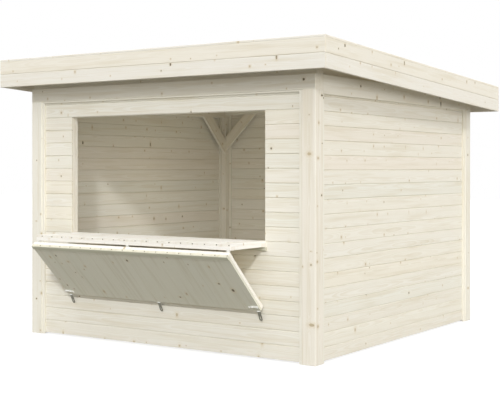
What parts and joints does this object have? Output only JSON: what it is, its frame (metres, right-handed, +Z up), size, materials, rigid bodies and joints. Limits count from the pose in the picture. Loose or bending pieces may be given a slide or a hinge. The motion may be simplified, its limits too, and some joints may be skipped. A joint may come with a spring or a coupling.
{
  "type": "wooden market stall",
  "caption": "Boarded timber sales hut with a serving hatch, a folded-down counter and flap, and a shallow mono-pitch roof.",
  "frame": {"origin": "middle of the whole outline in plan, at ground level, under the soles of the posts", "axes": "+Z up, -Y out of the front with the serving hatch, +X to the right of someone facing +Y"},
  "size_m": [3.4, 3.7262, 2.4775],
  "materials": {
    "frame_timber": "planed pale spruce, untreated",
    "wall_boards": "planed pale spruce, untreated",
    "strips": "planed pale spruce, untreated",
    "braces": "planed pale spruce, untreated",
    "counter_timber": "planed pale spruce, untreated",
    "flap_timber": "planed pale spruce, untreated",
    "galvanised_steel": "dull zinc coating",
    "roof_timber": "planed pale spruce, untreated",
    "fascia_timber": "planed pale spruce, untreated",
    "roofing_felt": "mineral-coated bitumen felt"
  },
  "bodies": {
    "root": {"post_front_left": "frame_timber", "post_front_right": "frame_timber", "post_back_left": "frame_timber", "post_back_right": "frame_timber", "beam_front": "frame_timber", "beam_back": "frame_timber", "beam_left": "frame_timber", "beam_right": "frame_timber", "riser_front": "frame_timber", "front_wall_lower": "wall_boards", "front_wall_left": "wall_boards", "front_wall_right": "wall_boards", "front_wall_upper": "wall_boards", "left_wall": "wall_boards", "right_wall": "wall_boards", "back_wall": "wall_boards", "corner_strips_outside": "strips", "corner_strips_inside": "strips", "top_strips": "strips", "gable_wedges": "wall_boards", "braces_back": "braces", "braces_left": "braces", "braces_right": "braces", "hatch_studs": "frame_timber", "hatch_head": "frame_timber", "hatch_sill": "frame_timber", "counter_boards": "counter_timber", "counter_rails": "counter_timber", "counter_cross_battens": "counter_timber", "counter_ledger": "counter_timber", "flap_boards": "flap_timber", "flap_rails": "flap_timber", "flap_cross_battens": "flap_timber", "flap_top_strip": "flap_timber", "flap_hinges": "galvanised_steel", "hasps": "galvanised_steel", "slide_bolts": "galvanised_steel", "rafters": "roof_timber", "roof_deck": "roof_timber", "roof_felt": "roofing_felt", "fascia_front": "fascia_timber", "fascia_back": "fascia_timber", "fascia_left": "fascia_timber", "fascia_right": "fascia_timber", "roof_trims": "fascia_timber"}
  },
  "joints": []
}
